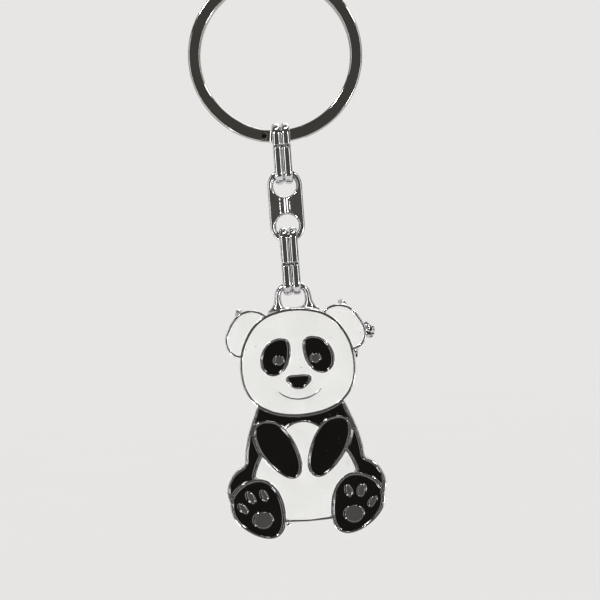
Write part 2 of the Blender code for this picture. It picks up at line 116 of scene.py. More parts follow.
# Half outlines of the charm on the right-hand side; the origin is the middle of the head.
HEAD_HALF = [(0, 8.85), (2.6, 8.6), (5.0, 7.8), (7.0, 6.25), (8.4, 4.1), (9.2, 1.9),
             (9.5, -0.6), (9.25, -3.2), (8.3, -5.4), (6.7, -7.05), (4.6, -8.1), (2.4, -8.62),
             (0, -8.8)]
BODY_HALF = [(0, -5.0), (5.6, -5.4), (7.4, -7.0), (8.3, -8.9), (9.05, -10.8), (9.7, -12.8),
             (10.15, -14.9), (10.3, -16.4), (10.6, -17.15), (11.4, -17.6), (12.5, -18.5),
             (13.35, -19.9), (13.7, -21.3), (13.5, -22.8), (12.6, -24.5), (10.5, -26.3),
             (6.5, -27.2), (3.5, -27.3), (0, -27.4)]
BELLY_HALF = [(0, -10.3), (1.5, -10.6), (2.9, -11.4), (4.6, -12.7), (6.1, -14.2),
              (7.25, -15.9), (8.05, -17.5), (8.55, -19.0), (8.75, -20.6), (8.6, -22.6),
              (7.8, -24.8), (6.0, -26.2), (4.0, -26.72), (2.0, -26.93), (0, -27.0)]
NOSE_HALF = [(0, -2.35), (1.1, -2.35), (1.75, -2.5), (1.98, -2.95), (1.55, -3.55),
             (0.85, -4.15), (0, -4.4)]
LOOP_HALF = [(0, 13.9), (1.3, 13.8), (2.3, 13.25), (2.95, 12.4), (3.2, 11.4), (3.35, 10.5),
             (3.75, 9.7), (4.5, 8.9), (4.2, 7.6), (2.0, 7.2), (0, 7.2)]
LOOP_HOLE_HALF = [(0, 12.7), (1.3, 12.62), (1.85, 12.1), (2.0, 11.3), (1.98, 10.5),
                  (1.7, 9.85), (1.0, 9.55), (0, 9.5)]
EAR = [(8.0, 9.05), (9.3, 8.6), (10.4, 7.5), (11.3, 6.0), (11.75, 4.7), (11.6, 3.4),
       (11.0, 2.45), (10.1, 1.95), (9.0, 1.8), (7.2, 2.6), (5.4, 5.4), (4.95, 7.5),
       (5.6, 8.45), (6.7, 9.0)]
EYE = [(2.0, 4.0), (3.0, 4.1), (3.95, 3.85), (4.8, 3.3), (5.5, 2.5), (5.95, 1.6),
       (6.15, 0.6), (6.05, -0.4), (5.65, -1.1), (5.0, -1.65), (4.2, -1.85), (3.3, -1.6),
       (2.5, -1.05), (1.9, -0.2), (1.5, 0.8), (1.3, 1.9), (1.28, 2.9), (1.48, 3.6)]
ARM_OUTER = [(5.7, -9.65), (4.5, -9.95), (3.4, -10.75), (2.45, -11.9), (1.6, -13.3),
             (0.95, -14.9), (0.55, -16.4), (0.42, -17.7), (0.65, -18.8), (1.3, -19.6),
             (2.25, -19.9), (3.35, -19.6), (4.6, -18.75), (5.8, -17.6), (6.9, -16.2),
             (7.75, -14.7), (8.3, -13.1), (8.5, -11.8), (8.25, -10.7), (7.6, -10.0),
             (6.7, -9.65)]
FOOT_OUTER = [(8.3, -19.45), (9.8, -19.7), (11.2, -20.4), (12.4, -21.5), (13.15, -22.9),
              (13.3, -24.3), (12.9, -25.9), (12.0, -27.2), (10.8, -28.3), (9.2, -29.3),
              (7.4, -29.9), (5.9, -29.85), (4.8, -29.2), (4.1, -28.0), (3.85, -26.5),
              (3.95, -24.8), (4.3, -23.1), (5.1, -21.4), (6.2, -20.2), (7.2, -19.65)]
SMILE = [(-3.9, -4.6), (-3.0, -5.35), (-1.9, -5.95), (-0.6, -6.25), (0.6, -6.25),
         (1.9, -5.95), (3.0, -5.35), (3.75, -4.7)]
SHOULDER_ZONE = [(-11.0, -5.0), (-11.0, -9.9), (-7.4, -10.1), (-4.0, -11.4), (4.0, -11.4),
                 (7.4, -10.1), (11.0, -9.9), (11.0, -5.0)]
FLANK_ZONE = [(6.6, -12.0), (11.5, -12.0), (15.0, -18.0), (15.0, -24.0), (7.0, -24.0),
              (6.6, -18.0)]

# Ellipses: centre u, centre v, half width, half height, lean to the right in degrees.
PUPIL = (3.15, 0.55, 0.76, 0.76, 0.0)
MAIN_PAD = (7.8, -26.55, 1.6, 1.42, 0.0)
TOES = {
    "left": [(-7.35, -22.4, 0.46, 0.98, -18.0), (-9.65, -22.6, 0.52, 1.08, -26.0),
             (-11.1, -24.4, 0.46, 1.0, -38.0)],
    "right": [(7.15, -22.6, 0.46, 0.98, -12.0), (9.4, -22.65, 0.60, 1.08, 16.0),
              (11.1, -24.7, 0.46, 0.98, 34.0)],
}
NUBS = [
    [(11.6, 3.7), (12.4, 3.35), (13.1, 3.3), (13.6, 4.1), (13.65, 5.1), (12.95, 5.5),
     (12.4, 6.1), (11.5, 5.8)],
    [(7.6, 9.0), (7.7, 10.0), (8.2, 10.3), (8.9, 9.85), (9.5, 8.8)],
    [(9.5, 2.3), (9.95, 1.0), (10.1, 0.15), (10.35, 0.05), (10.5, 1.2), (11.1, 2.5)],
    [(-10.2, 8.7), (-9.9, 9.7), (-9.5, 9.9), (-9.0, 9.7), (-8.6, 8.9)],
    [(-3.0, -27.0), (-3.2, -27.9), (-3.8, -28.0), (-4.3, -27.4), (-4.2, -26.6)],
]
SIDES = ("left", "right")

# ---- stage: floor in millimetres, camera and lights in metres and watts ----------------------
FLOOR_Z = -400.0
FLOOR_SPAN = (-300.0, 9000.0, 9000.0)       # near edge, far edge, half width
FLOOR_TINTS = ((0.30, 0.296, 0.292, 1), (0.32, 0.316, 0.312, 1))
FLOOR_GLOW_COLOUR = (1.0, 0.99, 0.985, 1)
FLOOR_GLOW = 0.671
STUDIO_PALE = (0.80, 0.79, 0.78, 1)
STUDIO_FADE = [(0.48, (0.100, 0.096, 0.088, 1)), (0.72, (0.66, 0.65, 0.64, 1))]
CAMERA_PLACE = (0.0012, -0.273, -0.0552)
CAMERA_TARGET = (0.0012, 0.0, -0.0552)
CAMERA_LENS = 95.0
CAMERA_ROLL_DEG = -4.2
LIGHT_TARGET = (0.0, 0.0, -0.055)
NEUTRAL = (1, 1, 1)
LIGHTS = [
    # name, place, (width, height), power, colour
    ("key_softbox", (-0.30, -0.46, 0.33), (0.09, 0.09), 1.35, (1.0, 0.99, 0.97)),
    ("second_softbox", (0.36, -0.44, 0.24), (0.07, 0.07), 0.65, NEUTRAL),
    ("low_softbox", (-0.30, -0.36, -0.36), (0.07, 0.07), 0.45, NEUTRAL),
    ("fill_softbox", (0.42, -0.40, -0.20), (0.07, 0.09), 0.5, (0.97, 0.985, 1.0)),
    ("top_strip", (0.10, -0.12, 0.45), (0.30, 0.06), 0.55, NEUTRAL),
    ("left_softbox", (-0.24, -0.34, -0.05), (0.08, 0.36), 0.34, NEUTRAL),
    ("right_softbox", (0.27, -0.27, -0.05), (0.08, 0.36), 0.34, NEUTRAL),
    ("far_left_strip", (-0.40, 0.02, -0.05), (0.04, 0.40), 0.25, NEUTRAL),
    ("back_softbox", (0.2, 0.45, 0.45), (0.5, 0.4), 1.2, NEUTRAL),
]


# ---- plane outlines -------------------------------------------------------------------------
def mirrored_half(half):
    return half + [(-u, v) for u, v in reversed(half[1:-1])]


def mirrored(points):
    return [(-u, v) for u, v in reversed(points)]


def smooth(points, steps):
    """Closed Catmull-Rom curve through the points."""
    p1 = np.array(points, float)
    p0, p2, p3 = np.roll(p1, 1, 0), np.roll(p1, -1, 0), np.roll(p1, -2, 0)
    rows = []
    for s in range(steps):
        t = s / steps
        rows.append(0.5 * (2 * p1 + (p2 - p0) * t + (2 * p0 - 5 * p1 + 4 * p2 - p3) * t * t
                           + (3 * p1 - p0 - 3 * p2 + p3) * t ** 3))
    return [tuple(p) for p in np.stack(rows, 1).reshape(-1, 2)]


def offset(points, distance):
    """Move a closed outline outward by a distance (inward when it is negative)."""
    p = np.array(points, float)
    nxt, prev = np.roll(p, -1, 0), np.roll(p, 1, 0)
    turn = np.sign(np.sum(p[:, 0] * nxt[:, 1] - nxt[:, 0] * p[:, 1]))
    along = nxt - prev
    normal = np.stack([along[:, 1], -along[:, 0]], 1) * turn
    normal /= np.linalg.norm(normal, axis=1, keepdims=True)
    return [tuple(q) for q in p + normal * distance]


def ellipse(spec, steps=28, grow=0.0):
    u, v, a, b, lean = spec
    c, s = math.cos(math.radians(lean)), math.sin(math.radians(lean))
    ring = []
    for i in range(steps):
        t = 2 * math.pi * i / steps
        x, y = (a + grow) * math.cos(t), (b + grow) * math.sin(t)
        ring.append((u + x * c + y * s, v - x * s + y * c))
    return ring


def ribbon(points, width, steps=5):
    """Closed outline of a line that thins towards its ends."""
    line = np.array(open_curve(points, steps))
    along = np.gradient(line, axis=0)
    normal = np.stack([-along[:, 1], along[:, 0]], 1)
    normal /= np.linalg.norm(normal, axis=1, keepdims=True)
    t = np.linspace(-1, 1, len(line))[:, None]
    half = width / 2 * (1 - 0.55 * np.abs(t) ** 3)
    return [tuple(p) for p in line + normal * half] + [tuple(p) for p in (line - normal * half)[::-1]]


def open_curve(points, steps):
    p = [points[0]] + list(points) + [points[-1]]
    curve = []
    for i in range(1, len(p) - 2):
        p0, p1, p2, p3 = (np.array(q, float) for q in p[i - 1:i + 3])
        for s in range(steps):
            t = s / steps
            curve.append(0.5 * (2 * p1 + (p2 - p0) * t + (2 * p0 - 5 * p1 + 4 * p2 - p3) * t * t
                                + (3 * p1 - p0 - 3 * p2 + p3) * t ** 3))
    return curve + [np.array(points[-1], float)]


def signed_distance(points, outline):
    """Distance from each point to a closed outline, negative inside it."""
    p = np.asarray(points, float)
    a = np.array(outline, float)
    b = np.roll(a, -1, 0)
    best = np.full(len(p), 1e9)
    crossings = np.zeros(len(p), int)
    for (ax, ay), (bx, by) in zip(a, b):
        ex, ey = bx - ax, by - ay
        length = ex * ex + ey * ey
        if length < 1e-12:
            continue
        wx, wy = p[:, 0] - ax, p[:, 1] - ay
        t = np.clip((wx * ex + wy * ey) / length, 0, 1)
        best = np.minimum(best, (wx - ex * t) ** 2 + (wy - ey * t) ** 2)
        spans = (ay > p[:, 1]) != (by > p[:, 1])
        if ay != by:
            crossings += spans & (p[:, 0] < ex * (p[:, 1] - ay) / ey + ax)
    return np.sqrt(best) * np.where(crossings % 2, -1.0, 1.0)


# ---- relief solids --------------------------------------------------------------------------
def even(line, step):
    """The same closed outline with no edge longer than a step."""
    points = []
    for a, b in zip(line, line[1:] + line[:1]):
        a, b = np.array(a), np.array(b)
        count = max(1, math.ceil(np.linalg.norm(b - a) / step))
        points += [tuple(a + (b - a) * k / count) for k in range(count)]
    return points


def scattered(bounds, spacing):
    """Staggered grid of points inside a box."""
    (u0, v0), (u1, v1) = bounds
    rows = []
    for j, v in enumerate(np.arange(v0, v1, spacing * 0.87)):
        u = np.arange(u0 + (spacing / 2 if j % 2 else 0), u1, spacing)
        rows.append(np.stack([u, np.full(len(u), v)], 1))
    return np.concatenate(rows)


def inner_points(lines, keep, spacing):
    """Grid points inside the shape, clear of every line."""
    every = np.concatenate([np.array(line, float) for line in lines])
    grid = scattered((every.min(0), every.max(0)), spacing)
    grid = grid[keep(grid) < -spacing * 0.5]
    near = np.full(len(grid), 1e9)
    for line in lines:
        near = np.minimum(near, np.abs(signed_distance(grid, line)))
    return grid[near > spacing * 0.55]


def relief(name, lines, keep, heights, spacing, place):
    """Solid over the plane: keep(points) is negative where it exists, heights gives both faces.

    lines are closed outlines that the mesh follows; place maps (u, y, v) to the frame.
    """
    lines = [even(line, spacing) for line in lines]
    grid = inner_points(lines, keep, spacing)
    points, edges = [], []
    for line in lines:
        first = len(points)
        points += [Vector(p) for p in line]
        edges += [(first + i, first + (i + 1) % len(line)) for i in range(len(line))]
    points += [Vector(p) for p in grid]
    verts, _, faces, *_ = delaunay_2d_cdt(points, edges, [], 0, 1e-5)
    flat = np.array([tuple(v) for v in verts])
    faces = np.array([tuple(f) for f in faces if len(f) == 3])
    faces = faces[keep(flat[faces].mean(1)) < 0]
    used, faces = np.unique(faces, return_inverse=True)
    faces = faces.reshape(-1, 3)
    flat = flat[used]
    front, back = heights(flat)
    count = len(flat)
    where = np.concatenate([np.stack([flat[:, 0], front, flat[:, 1]], 1),
                            np.stack([flat[:, 0], back, flat[:, 1]], 1)])
    polygons = [tuple(int(i) for i in f) for f in faces]
    polygons += [tuple(int(i) + count for i in f[::-1]) for f in faces]
    seen = {}
    for a, b, c in faces:
        for edge in ((a, b), (b, c), (c, a)):
            seen[edge] = True
    for a, b in list(seen):
        if (b, a) not in seen:
            polygons.append((int(b), int(a), int(a) + count, int(b) + count))
    return new_mesh(name, [place(p) for p in where], polygons)


def new_mesh(name, points, polygons, sharp_deg=48):
    data = bpy.data.meshes.new(name)
    data.from_pydata([tuple(c * MM for c in p) for p in points], [], polygons)
    data.update()
    data.shade_smooth()
    data.set_sharp_from_angle(angle=math.radians(sharp_deg))
    piece = bpy.data.objects.new(name, data)
    bpy.context.scene.collection.objects.link(piece)
    return piece


def swept(name, rings, sharp_deg=48, closed=False):
    """Tube through like-numbered rings, capped at both ends unless closed."""
    count = len(rings[0])
    points = [p for ring in rings for p in ring]
    polygons = []
    rows = len(rings)
    for r in range(rows if closed else rows - 1):
        s = (r + 1) % rows
        for i in range(count):
            j = (i + 1) % count
            polygons.append((r * count + i, r * count + j, s * count + j, s * count + i))
    if not closed:
        polygons.append(tuple(range(count))[::-1])
        polygons.append(tuple((rows - 1) * count + i for i in range(count)))
    return new_mesh(name, points, polygons, sharp_deg)


def rounding(depth_in, radius):
    """How far a rounded edge has fallen at a distance in from its side."""
    t = np.clip(1 - depth_in / radius, 0, 1)
    return radius * (1 - np.sqrt(np.clip(1 - t * t, 0, 1)))


# ---- materials ------------------------------------------------------------------------------
class Nodes:
    """Small helper for building a node tree from left to right."""

    def __init__(self, name):
        self.material = bpy.data.materials.new(name)
        self.material.use_nodes = True
        self.tree = self.material.node_tree
        self.tree.nodes.clear()
        self.output = self.tree.nodes.new("ShaderNodeOutputMaterial")
        self.shader = self.add("ShaderNodeBsdfPrincipled")
        self.join(self.shader.outputs["BSDF"], self.output.inputs["Surface"])
        coordinates = self.add("ShaderNodeTexCoord")
        self.where = coordinates.outputs["Object"]

    def add(self, kind, **values):
        node = self.tree.nodes.new(kind)
        for key, value in values.items():
            setattr(node, key, value)
        return node

    def join(self, source, target):
        self.tree.links.new(source, target)

    def noise(self, scale, detail=3.0, roughness=0.55, stretch=None):
        node = self.add("ShaderNodeTexNoise")
        node.inputs["Scale"].default_value = scale
        node.inputs["Detail"].default_value = detail
        node.inputs["Roughness"].default_value = roughness
        self.join(self.stretched(stretch), node.inputs["Vector"])
        return node.outputs["Fac"]

    def stretched(self, stretch):
        if stretch is None:
            return self.where
        mapping = self.add("ShaderNodeMapping")
        mapping.inputs["Scale"].default_value = stretch
        self.join(self.where, mapping.inputs["Vector"])
        return mapping.outputs["Vector"]

    def specks(self, scale, size):
        """White dots of a given size in a black field."""
        node = self.add("ShaderNodeTexVoronoi")
        node.inputs["Scale"].default_value = scale
        self.join(self.where, node.inputs["Vector"])
        return self.ramp(node.outputs["Distance"], [(0.0, 1.0), (size, 1.0), (size * 1.5, 0.0)])

    def ramp(self, source, stops):
        node = self.add("ShaderNodeValToRGB")
        elements = node.color_ramp.elements
        while len(elements) < len(stops):
            elements.new(0.5)
        for element, (place, value) in zip(elements, stops):
            element.position = place
            element.color = value if isinstance(value, tuple) else (value, value, value, 1.0)
        self.join(source, node.inputs["Fac"])
        return node.outputs["Color"]

    def multiply(self, a, b):
        node = self.add("ShaderNodeMath", operation="MULTIPLY")
        self.join(a, node.inputs[0])
        self.join(b, node.inputs[1])
        return node.outputs["Value"]

    def bump(self, height, strength, distance, before=None):
        node = self.add("ShaderNodeBump")
        node.inputs["Strength"].default_value = strength
        node.inputs["Distance"].default_value = distance
        self.join(height, node.inputs["Height"])
        if before is not None:
            self.join(before, node.inputs["Normal"])
        return node.outputs["Normal"]


def chrome(name, tint, dark_tint, roughness, wave=0.4):
    """Bright nickel-chrome plate: faint smudges, hairline scratches and a slightly wavy skin."""
    n = Nodes(name)
    smudge = n.noise(420.0, 4.0, 0.6)
    n.join(n.ramp(smudge, [(0.3, dark_tint), (0.7, tint)]), n.shader.inputs["Base Color"])
    n.join(n.ramp(smudge, [(0.3, roughness * 1.7), (0.7, roughness * 0.7)]),
           n.shader.inputs["Roughness"])
    n.shader.inputs["Metallic"].default_value = 1.0
    skin = n.bump(n.noise(900.0, 2.0, 0.5), wave, 0.00004)
    scratches = n.noise(2600.0, 2.0, 0.7, (1.0, 1.0, 0.06))
    n.join(n.bump(scratches, 0.12, 0.00001, skin), n.shader.inputs["Normal"])
    return n.material


def enamel(name, colour, shade, dust, dust_colour, roughness, wave):
    """Poured enamel: soft waves in the skin, a gentle tone drift, dust specks and pinholes."""
    n = Nodes(name)
    tone = n.ramp(n.noise(170.0, 3.0, 0.5), [(0.35, shade), (0.65, colour)])
    mix = n.add("ShaderNodeMix", data_type="RGBA")
    few = n.ramp(n.noise(330.0), [(dust, 0.0), (dust + 0.04, 1.0)])
    specks = n.multiply(n.specks(900.0, 0.07), few)
    n.join(specks, mix.inputs["Factor"])
    n.join(tone, mix.inputs["A"])
    mix.inputs["B"].default_value = dust_colour
    n.join(mix.outputs["Result"], n.shader.inputs["Base Color"])
    n.join(n.ramp(n.noise(650.0), [(0.3, roughness), (0.75, roughness * 1.8)]),
           n.shader.inputs["Roughness"])
    n.shader.inputs["Coat Weight"].default_value = 0.2
    n.shader.inputs["Coat Roughness"].default_value = 0.04
    skin = n.bump(n.noise(300.0, 2.0, 0.45), wave, 0.00012)
    n.join(n.bump(specks, 0.3, 0.00003, skin), n.shader.inputs["Normal"])
    return n.material


def floor_material():
    n = Nodes("pale_floor")
    n.join(n.ramp(n.noise(3.0, 2.0), [(0.3, FLOOR_TINTS[0]), (0.7, FLOOR_TINTS[1])]),
           n.shader.inputs["Base Color"])
    n.shader.inputs["Roughness"].default_value = 0.9
    n.shader.inputs["Emission Color"].default_value = FLOOR_GLOW_COLOUR
    n.shader.inputs["Emission Strength"].default_value = FLOOR_GLOW
    return n.material


RING_CHROME = chrome("ring_chrome_plate", (0.46, 0.46, 0.44, 1), (0.39, 0.39, 0.37, 1), 0.07, 0.12)
LINK_CHROME = chrome("link_chrome_plate", (0.66, 0.66, 0.67, 1), (0.52, 0.52, 0.52, 1), 0.06, 0.5)
CAST_CHROME = chrome("cast_chrome_plate", (0.66, 0.65, 0.66, 1), (0.60, 0.59, 0.60, 1), 0.08, 0.6)
WHITE = enamel("white_enamel_coat", (0.83, 0.83, 0.81, 1), (0.78, 0.78, 0.765, 1), 0.59,
               (0.16, 0.15, 0.14, 1), 0.16, 0.25)
BLACK = enamel("black_enamel_coat", (0.0020, 0.0018, 0.0018, 1), (0.0035, 0.0028, 0.0024, 1), 0.57,
               (0.06, 0.055, 0.05, 1), 0.035, 0.22)


def dress(piece, body, nodes, slot, material):
    piece.data.materials.append(material)
    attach(piece, body)
    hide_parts(*nodes)
    return piece


# ---- split ring -----------------------------------------------------------------------------
def rounded_wire(inner, outer):
    """Flat wire with softly rounded corners as (radius, depth)."""
    half, b = WIRE_DEPTH / 2, WIRE_BEVEL
    corners = [(outer - b, -half + b, -90), (outer - b, half - b, 0),
               (inner + b, half - b, 90), (inner + b, -half + b, 180)]
    section = []
    for r, d, start in corners:
        for k in range(5):
            a = math.radians(start + 90 * k / 4)
            section.append((r + b * math.cos(a), d + b * math.sin(a)))
    return section


def build_ring():
    low, high = (np.array(c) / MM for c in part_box("split_ring"))
    outer = (high[2] - low[2]) / 2
    centre = (high[2] + low[2]) / 2
    pitch = (WIRE_DEPTH + COIL_GAP) / 2
    front = CREASE_DEG - 360.0
    stations = [(a, -pitch) for a in np.linspace(FRONT_END_DEG, front + 1.0, 180)]
    stations += [(front + 0.4, -pitch), (front + 0.1, 0.025 - pitch), (front - 0.3, 0.01 - pitch)]
    drop = np.linspace(0.08, CRANK_BEND, 9).tolist() + np.linspace(CRANK_BEND + 0.01, 1, 9).tolist()
    for t in drop:
        ease = float(np.interp(t, (0, CRANK_BEND, 1), (0, CRANK_EASE, 1)))
        stations.append((front + (FRONT_END_DEG - CREASE_DEG) * t, pitch * (2 * ease - 1)))
    last = stations[-1][0]
    stations += [(last + a, pitch) for a in np.linspace(0, front - FRONT_END_DEG, 180)[1:]]
    section = rounded_wire(outer - RING_WALL, outer)
    rings = []
    for angle, depth in stations:
        s, c = math.sin(math.radians(angle)), math.cos(math.radians(angle))
        rings.append([(r * s, depth + d, centre - r * c) for r, d in section])
    ring = swept("split_ring_wire", rings)
    return dress(ring, "ring", ["split_ring"], "ring_chrome", RING_CHROME)


# ---- folded strip links ---------------------------------------------------------------------
def strip_height(x):
    """Height of the strip's outside face over its inside face, across the strip."""
    rib = 4 * abs(x) / STRIP_WIDTH - 1
    return STRIP_THICK - (STRIP_SHOULDER if rib > 0 else STRIP_GROOVE) * abs(rib) ** RIB_SHARPNESS


def strip_section():
    half = STRIP_WIDTH / 2
    top = [(x, strip_height(x)) for x in np.linspace(-half + 0.06, half - 0.06, 33)]
    right = [(half, strip_height(half) - 0.10), (half, 0.16), (half - 0.05, 0.05)]
    under = [(half - 0.16, 0.0), (0.0, 0.0), (-half + 0.16, 0.0)]
    left = [(-half + 0.05, 0.05), (-half, 0.16), (-half, strip_height(half) - 0.10)]
    return top + right + under + left


def fold_path(length, seam_drop):
    """Rows of (y, drop below the link's top, outward direction in y and in drop), lip to lip."""
    outer = FOLD_INNER_R + STRIP_THICK
    bottom = length - outer
    r = FOLD_INNER_R
    first, last = seam_drop - SEAM_GAP / 2, seam_drop + SEAM_GAP / 2
    path = [(-r, first - d, -1.0, 0.0) for d in LIP_STEPS]
    path += [(-r, d, -1.0, 0.0) for d in np.linspace(first - 0.3, outer, 8)[:-1]]
    path += [(-r * math.cos(a), outer - r * math.sin(a), -math.cos(a), -math.sin(a))
             for a in np.linspace(0, math.pi, 25)]
    path += [(r, d, 1.0, 0.0) for d in np.linspace(outer, bottom, 14)[1:-1]]
    path += [(r * math.cos(a), bottom + r * math.sin(a), math.cos(a), math.sin(a))
             for a in np.linspace(0, math.pi, 25)]
    path += [(-r, d, -1.0, 0.0) for d in np.linspace(bottom, last + 0.3, 8)[1:]]
    return path + [(-r, last + d, -1.0, 0.0) for d in LIP_STEPS[::-1]]


def build_strip_link(node, body, seam_drop):
    low, high = (np.array(c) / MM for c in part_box(node))
    path = fold_path(high[2] - low[2], seam_drop)
    rings = []
    for i, (y, drop, out_y, out_drop) in enumerate(path):
        end = min(i, len(path) - 1 - i)
        shrink = LIP_THINNING[end] if end < len(LIP_THINNING) else 0.0
        ring = []
        for x, h in strip_section():
            h = h * (1 - shrink)
            ring.append((x * (1 - shrink * LIP_NARROWING), y + out_y * h, high[2] - drop - out_drop * h))
        rings.append(ring)
    link = swept(node + "_strip", rings)
    return dress(link, body, [node], "link_chrome", LINK_CHROME)


# ---- figure-eight link ----------------------------------------------------------------------
def stadium(half_width, top, bottom, steps=40):
    points = []
    for centre, start in ((top, 0.0), (bottom, math.pi)):
        for a in np.linspace(start, start + math.pi, steps):
            points.append((half_width * math.cos(a), centre + half_width * math.sin(a)))
    return points


def build_figure_eight():
    """Pressed plate: rounded rims round both holes and a crowned, ribbed web between them."""
    low, high = (np.array(c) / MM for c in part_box("figure_eight_link"))
    half = EIGHT_WIDTH / 2
    top, bottom = high[2] - half, low[2] + half
    mid = (top + bottom) / 2
    outer = stadium(half, top, bottom)
    holes = [ellipse((0, v, EIGHT_HOLE_R, EIGHT_HOLE_R, 0), 64) for v in (top, bottom)]
    lines = [outer] + holes
    for inset in (0.05, 0.14, 0.24, EIGHT_ROUND, 0.48, 0.62):
        lines.append(offset(outer, -inset))
        lines += [ellipse((0, v, EIGHT_HOLE_R, EIGHT_HOLE_R, 0), 64, inset) for v in (top, bottom)]

    def keep(p):
        return np.maximum(signed_distance(p, outer),
                          -np.minimum(*(signed_distance(p, hole) for hole in holes)))

    def heights(p):
        inside = -keep(p)
        fall = rounding(inside, EIGHT_ROUND)
        across = np.clip(1 - (p[:, 0] / WEB_HALF_WIDTH) ** 2, 0, 1)
        along = np.clip(1 - ((p[:, 1] - mid) / WEB_HALF_LENGTH) ** 4, 0, 1)
        ribs = 0.5 + 0.5 * np.cos(p[:, 0] * 2 * math.pi / WEB_RIB_PITCH)
        beads = BEAD_MEAN + BEAD_SWING * np.cos((p[:, 1] - mid) * 2 * math.pi / BEAD_PITCH)
        crown = WEB_RIB_RISE * across * along * ribs * beads
        hole = np.min([signed_distance(p, line) for line in holes], axis=0)
        collar = HOLE_COLLAR_RISE * np.exp(-((hole - COLLAR_INSET) / COLLAR_REACH) ** 2)
        bow = PLATE_BOW * np.cos((p[:, 1] - mid) * 0.75 + 0.6) - PLATE_TWIST * p[:, 0]
        face = EIGHT_THICK / 2 - PLATE_SINK - fall + crown + collar + bow
        return -face, face

    link = relief("figure_eight_plate", lines, keep, heights, EIGHT_MESH_STEP, lambda p: tuple(p))
    return dress(link, "figure_eight", ["figure_eight_link"], "link_chrome", LINK_CHROME)


# ---- charm ----------------------------------------------------------------------------------
class Charm:
    """Every outline of the charm in its own frame."""

    def __init__(self):
        def both(outline):
            return {"right": outline, "left": mirrored(outline)}

        self.head = smooth(mirrored_half(HEAD_HALF), 8)
        self.body = smooth(mirrored_half(BODY_HALF), 6)
        self.belly = smooth(mirrored_half(BELLY_HALF), 6)
        self.nose = smooth(mirrored_half(NOSE_HALF), 5)
        self.loop = smooth(mirrored_half(LOOP_HALF), 5)
        self.hole = smooth(mirrored_half(LOOP_HOLE_HALF), 5)
        self.smile = ribbon(SMILE, SMILE_WIDTH)
        self.ear = both(smooth(EAR, 6))
        self.eye = both(smooth(EYE, 6))
        self.arm = both(offset(smooth(ARM_OUTER, 6), -ARM_RIM))
        self.foot = both(offset(smooth(FOOT_OUTER, 4), -EDGE_RIM))
        self.pupil = both(ellipse(PUPIL))
        left_pad = (-MAIN_PAD[0],) + MAIN_PAD[1:]
        self.pads = {"right": [ellipse(s) for s in [MAIN_PAD] + TOES["right"]],
                     "left": [ellipse(s) for s in [left_pad] + TOES["left"]]}
        self.flank_zone = both(FLANK_ZONE)
        self.regions = self.make_regions()

    def make_regions(self):
        """Name -> (outlines to stay inside, outlines to stay outside)."""
        head_rim = offset(self.head, HEAD_RIM)
        belly_rim = offset(self.belly, BELLY_RIM)
        body_in = offset(self.body, -EDGE_RIM)
        arms = [offset(self.arm[s], ARM_RIM) for s in SIDES]
        feet = [offset(self.foot[s], EDGE_RIM) for s in SIDES]
        eyes = [offset(self.eye[s], FACE_RIM) for s in SIDES]
        nose = offset(self.nose, FACE_RIM)
        regions = {
            "face": ([self.head], eyes + [nose, self.smile]),
            "nose": ([self.nose], []),
            "shoulders": ([body_in, SHOULDER_ZONE], [head_rim, belly_rim] + arms),
            "belly": ([self.belly], arms + feet),
        }
        for s in SIDES:
            regions["ear_" + s] = ([self.ear[s]], [head_rim])
            regions["eye_" + s] = ([self.eye[s]], [self.pupil[s]])
            regions["arm_" + s] = ([self.arm[s]], [])
            regions["foot_" + s] = ([self.foot[s]], self.pads[s])
            regions["flank_" + s] = ([body_in, self.flank_zone[s]], [belly_rim] + arms + feet)
        return regions


def region_distance(points, region):
    """Negative inside the region, its size the distance to the region's edge."""
    within, without = region
    parts = [signed_distance(points, line) for line in within]
    parts += [-signed_distance(points, line) for line in without]
    return np.max(parts, axis=0)


def casting_lines(charm, plates, pockets):
    """Every outline that the casting's mesh follows."""
    lines = plates + [charm.loop, charm.hole] + NUBS
    for plate in plates:
        lines += [offset(plate, -d) for d in (0.05, 0.14, 0.26, OUTER_ROUND)]
    for inset in (0.08, 0.22, 0.4):
        lines += [offset(charm.loop, -inset), offset(charm.hole, inset)]
    for within, without in pockets:
        for line in within:
            lines += [line, offset(line, ENAMEL_LAP), offset(line, RIM_ROUND)]
        for line in without:
            lines += [line, offset(line, -ENAMEL_LAP), offset(line, -RIM_ROUND)]
    return lines


